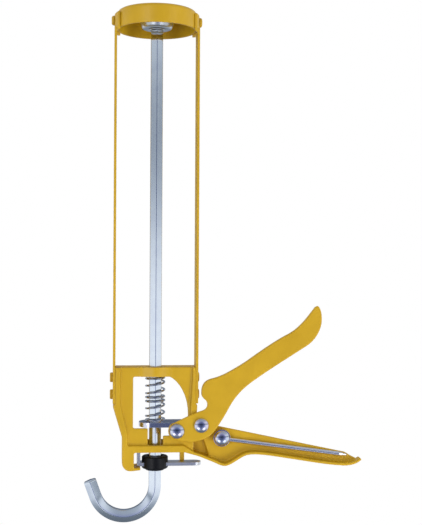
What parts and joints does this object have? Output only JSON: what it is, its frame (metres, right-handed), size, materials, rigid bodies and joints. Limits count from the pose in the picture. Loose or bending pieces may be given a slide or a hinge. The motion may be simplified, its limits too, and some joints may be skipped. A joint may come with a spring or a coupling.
{
  "type": "caulking gun",
  "caption": "Skeleton caulking gun with two rails, a front cap, a hooked hexagonal push rod, a squeeze trigger and a pressed frame with its handle.",
  "frame": {"origin": "on the push rod's axis, in the plane of the frame's top edges that the cartridge sits on", "axes": "+X towards the handle and trigger, +Z along the rod towards the nozzle, -Y towards the frame's open face"},
  "size_m": [0.1846, 0.0528, 0.338],
  "materials": {
    "yellow_paint": "semi-gloss",
    "zinc_plate": "satin",
    "bright_steel": "polished",
    "spring_steel": "satin",
    "black_rubber": "matt"
  },
  "bodies": {
    "frame": {"rear_frame": "yellow_paint", "left_rail": "yellow_paint", "right_rail": "yellow_paint", "front_cap": "yellow_paint", "cap_rivets": "yellow_paint", "rail_rivets": "yellow_paint", "trigger_pivot": "bright_steel", "wire_pivot": "bright_steel", "wire_washer": "bright_steel", "upper_spring": "spring_steel", "lower_spring": "spring_steel"},
    "rod": {"hex_rod": "zinc_plate", "piston_disc": "zinc_plate", "piston_washer": "zinc_plate", "piston_nut": "zinc_plate"},
    "trigger": {"trigger": "yellow_paint", "drive_pin": "bright_steel"},
    "drive": {"drive_plate": "bright_steel"},
    "lever": {"release_lever": "bright_steel", "brake_grommet": "black_rubber"},
    "wire": {"puncture_wire": "zinc_plate"}
  },
  "joints": [
    {"name": "rod_slide", "type": "slide", "parent": "frame", "child": "rod", "axis": [0, 0, 1], "range_m": [-0.21, 0]},
    {"name": "trigger_squeeze", "type": "hinge", "parent": "frame", "child": "trigger", "pos_m": [0.03, 0, -0.038], "axis": [0, 1, 0], "range_deg": [0, 25], "stiffness_Nm_per_rad": 0.3, "springref_deg": -34.38},
    {"name": "drive_lift", "type": "slide", "parent": "frame", "child": "drive", "axis": [0, 0, 1], "range_m": [0, 0.0075], "deforming": ["upper_spring", "lower_spring"]},
    {"name": "brake_release", "type": "hinge", "parent": "frame", "child": "lever", "pos_m": [-0.0108, 0, -0.0653], "axis": [0, 1, 0], "range_deg": [0, 4], "stiffness_Nm_per_rad": 0.05, "springref_deg": -11.46},
    {"name": "wire_swing", "type": "hinge", "parent": "frame", "child": "wire", "pos_m": [0.044, 0, -0.047], "axis": [0, 1, 0], "range_deg": [-55, 0]}
  ],
  "couplings": [
    {"joint": "drive_lift", "follows": "trigger_squeeze", "m_per_rad": 0.0163}
  ]
}
